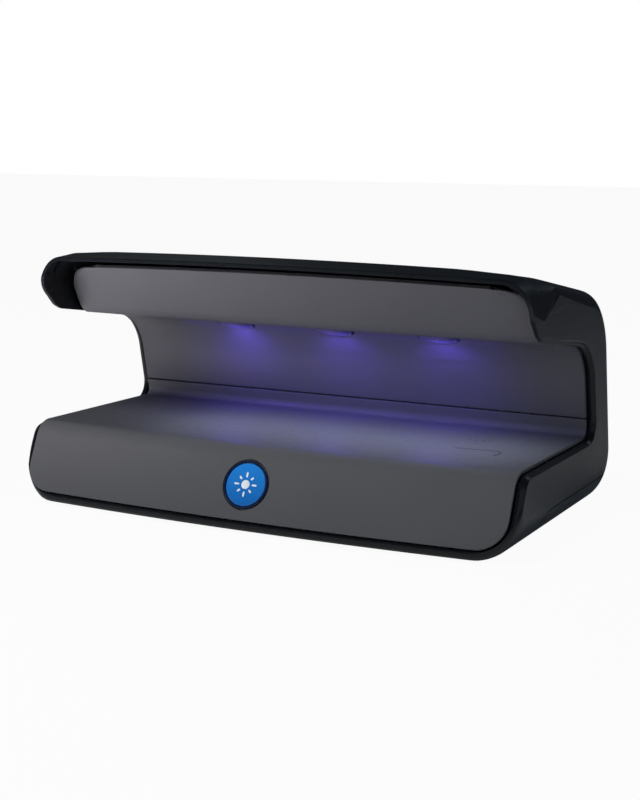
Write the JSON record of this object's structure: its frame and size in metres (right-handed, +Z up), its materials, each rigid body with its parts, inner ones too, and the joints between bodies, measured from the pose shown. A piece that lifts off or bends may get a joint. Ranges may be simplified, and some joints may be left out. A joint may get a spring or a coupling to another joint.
{
  "type": "ultraviolet banknote detector",
  "caption": "Low C-shaped desktop housing: an overhanging hood with ultraviolet LED windows lights banknotes laid on a sloping open platform.",
  "frame": {"origin": "centre of the footprint (middle of the overall box in X and Y), on the table plane touched by the rubber feet", "axes": "+X to the object's right seen from the front (along its width), +Y to the rear wall with the power inlet, +Z up"},
  "size_m": [0.1766, 0.1116, 0.0849],
  "materials": {
    "shell_plastic": "near-black satin moulded ABS with a fine spark texture",
    "base_plastic": "near-black moulded ABS, coarser matte texture",
    "upper_liner_plastic": "gunmetal-grey matte moulded plastic with a faint metallic sheen",
    "lower_liner_plastic": "gunmetal-grey matte moulded plastic with a faint metallic sheen",
    "uv_lens": "violet-tinted clear window, glossy, slightly domed",
    "uv_led": "clear silicone dome over a white ceramic package",
    "led_board": "green solder-masked metal-core board",
    "heat_spreader": "mill-finish extruded aluminium bar",
    "screw_steel": "zinc-plated steel, machined",
    "badge_rim_navy": "navy moulded ring, satin",
    "badge_blue": "bright blue printed disc under clear resin",
    "foot_rubber": "black elastomer, matte",
    "control_board": "green solder-masked glass-epoxy board",
    "component_black": "black epoxy and ferrite",
    "capacitor_sleeve": "dark blue shrink sleeve with a plain aluminium top",
    "jack_plastic": "black moulded nylon",
    "switch_plastic": "black moulded nylon, fine texture",
    "rocker_plastic": "black moulded plastic, satin gloss",
    "jack_pin": "nickel-plated brass",
    "wire_red": "red PVC insulation",
    "wire_black": "black PVC insulation"
  },
  "bodies": {
    "housing": {"upper_shell": "shell_plastic", "base_plate": "base_plastic", "upper_liner": "upper_liner_plastic", "lower_liner": "lower_liner_plastic", "uv_lens_left": "uv_lens", "uv_lens_centre": "uv_lens", "uv_lens_right": "uv_lens", "uv_led_left": "uv_led", "uv_led_centre": "uv_led", "uv_led_right": "uv_led", "led_board": "led_board", "led_heat_spreader": "heat_spreader", "led_board_screw_left": "screw_steel", "led_board_screw_right": "screw_steel", "badge_ring": "badge_rim_navy", "badge_disc": "badge_blue", "foot_front_left": "foot_rubber", "foot_front_right": "foot_rubber", "foot_rear_left": "foot_rubber", "foot_rear_right": "foot_rubber", "base_screw_front_left": "screw_steel", "base_screw_front_right": "screw_steel", "base_screw_rear_left": "screw_steel", "base_screw_rear_right": "screw_steel", "control_board": "control_board", "board_standoff_left": "screw_steel", "board_standoff_right": "screw_steel", "board_screw_left": "screw_steel", "board_screw_right": "screw_steel", "driver_inductor": "component_black", "driver_chip": "component_black", "driver_capacitor": "capacitor_sleeve", "power_jack": "jack_plastic", "jack_pin": "jack_pin", "jack_nut": "screw_steel", "switch_frame": "switch_plastic", "led_wire_red": "wire_red", "led_wire_black": "wire_black", "jack_wire_red": "wire_red", "jack_wire_black": "wire_black"},
    "rocker": {"power_rocker": "rocker_plastic"}
  },
  "joints": [
    {"name": "power_rocker_tilt", "type": "hinge", "parent": "housing", "child": "rocker", "pos_m": [0.026, 0.05069, 0.02502], "axis": [0, 0.2104, -0.9776], "range_deg": [-18, 0]}
  ]
}
